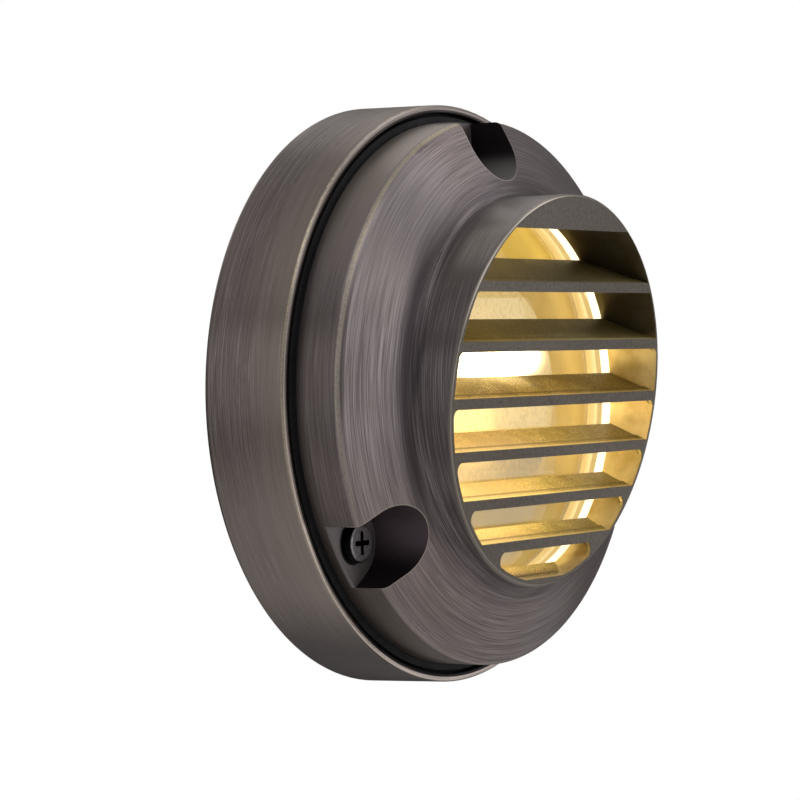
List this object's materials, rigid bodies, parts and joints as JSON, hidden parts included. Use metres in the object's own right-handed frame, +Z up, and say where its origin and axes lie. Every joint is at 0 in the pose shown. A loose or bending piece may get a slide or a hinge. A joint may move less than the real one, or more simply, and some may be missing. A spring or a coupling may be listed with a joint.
{
  "type": "outdoor wall light",
  "caption": "Round surface-mounted wall light: drum base on the wall, domed cover held by screws in open pockets, and a slanted hooded nose with louvre bars over a sealed lens.",
  "frame": {"origin": "centre of the flat back of the base, on the wall's surface", "axes": "+Y into the wall, so the light faces -Y; +Z up the wall; +X to the right seen from the front"},
  "size_m": [0.121, 0.0499, 0.121],
  "materials": {
    "antique_bronze": "cast and turned brass, darkened to antique bronze and brushed round the axis",
    "foam_rubber": "closed-cell foam rubber",
    "black_rubber": "moulded rubber, matt",
    "black_plastic": "moulded plastic, fine grain",
    "potting_resin": "poured resin, glossy",
    "white_nylon": "natural nylon, satin",
    "brass": "turned brass",
    "steel": "zinc-plated steel",
    "black_insulation": "extruded wire insulation",
    "red_insulation": "extruded wire insulation",
    "cast_aluminium": "bare die-cast aluminium, satin",
    "thermal_silicone": "soft silicone pad",
    "white_board": "white solder mask on a metal-core board",
    "led_phosphor": "phosphor-filled silicone, lit",
    "opal_plastic": "opal moulded cap, lit from behind",
    "gold_reflector": "spun aluminium, gold anodised, satin",
    "white_silicone": "translucent white silicone",
    "clear_glass": "clear toughened glass, polished",
    "blackened_steel": "black-oxide stainless steel"
  },
  "bodies": {
    "base": {"mounting_base": "antique_bronze", "wall_gasket": "foam_rubber", "cable_grommet": "black_rubber", "cover_gasket": "black_rubber", "driver_pad": "foam_rubber", "driver_case": "black_plastic", "driver_potting": "potting_resin", "terminal_block": "white_nylon", "terminal_screws": "brass", "terminal_fixing_screw": "steel", "input_lead": "black_insulation", "led_lead": "red_insulation", "heat_sink": "cast_aluminium", "sink_screws": "steel", "thermal_pad": "thermal_silicone", "led_board": "white_board", "leds": "led_phosphor", "board_screws": "steel", "led_diffuser": "opal_plastic", "reflector": "gold_reflector"},
    "cover": {"front_cover": "antique_bronze", "lens_seal": "white_silicone", "lens": "clear_glass", "lens_ring": "cast_aluminium", "lens_ring_screws": "steel", "screw_seals": "black_rubber"},
    "screw_1": {"cover_screw_1": "blackened_steel"},
    "screw_2": {"cover_screw_2": "blackened_steel"},
    "screw_3": {"cover_screw_3": "blackened_steel"}
  },
  "joints": [
    {"name": "cover_lift_off", "type": "slide", "parent": "base", "child": "cover", "axis": [0, -1, 0], "range_m": [0, 0.06]},
    {"name": "screw_1_turn", "type": "hinge", "parent": "cover", "child": "screw_1", "pos_m": [-0.00356, -0.0222, 0.05088], "axis": [0, -1, 0], "continuous": true},
    {"name": "screw_2_turn", "type": "hinge", "parent": "cover", "child": "screw_2", "pos_m": [-0.04228, -0.0222, -0.02852], "axis": [0, -1, 0], "continuous": true},
    {"name": "screw_3_turn", "type": "hinge", "parent": "cover", "child": "screw_3", "pos_m": [0.04584, -0.0222, -0.02236], "axis": [0, -1, 0], "continuous": true}
  ]
}
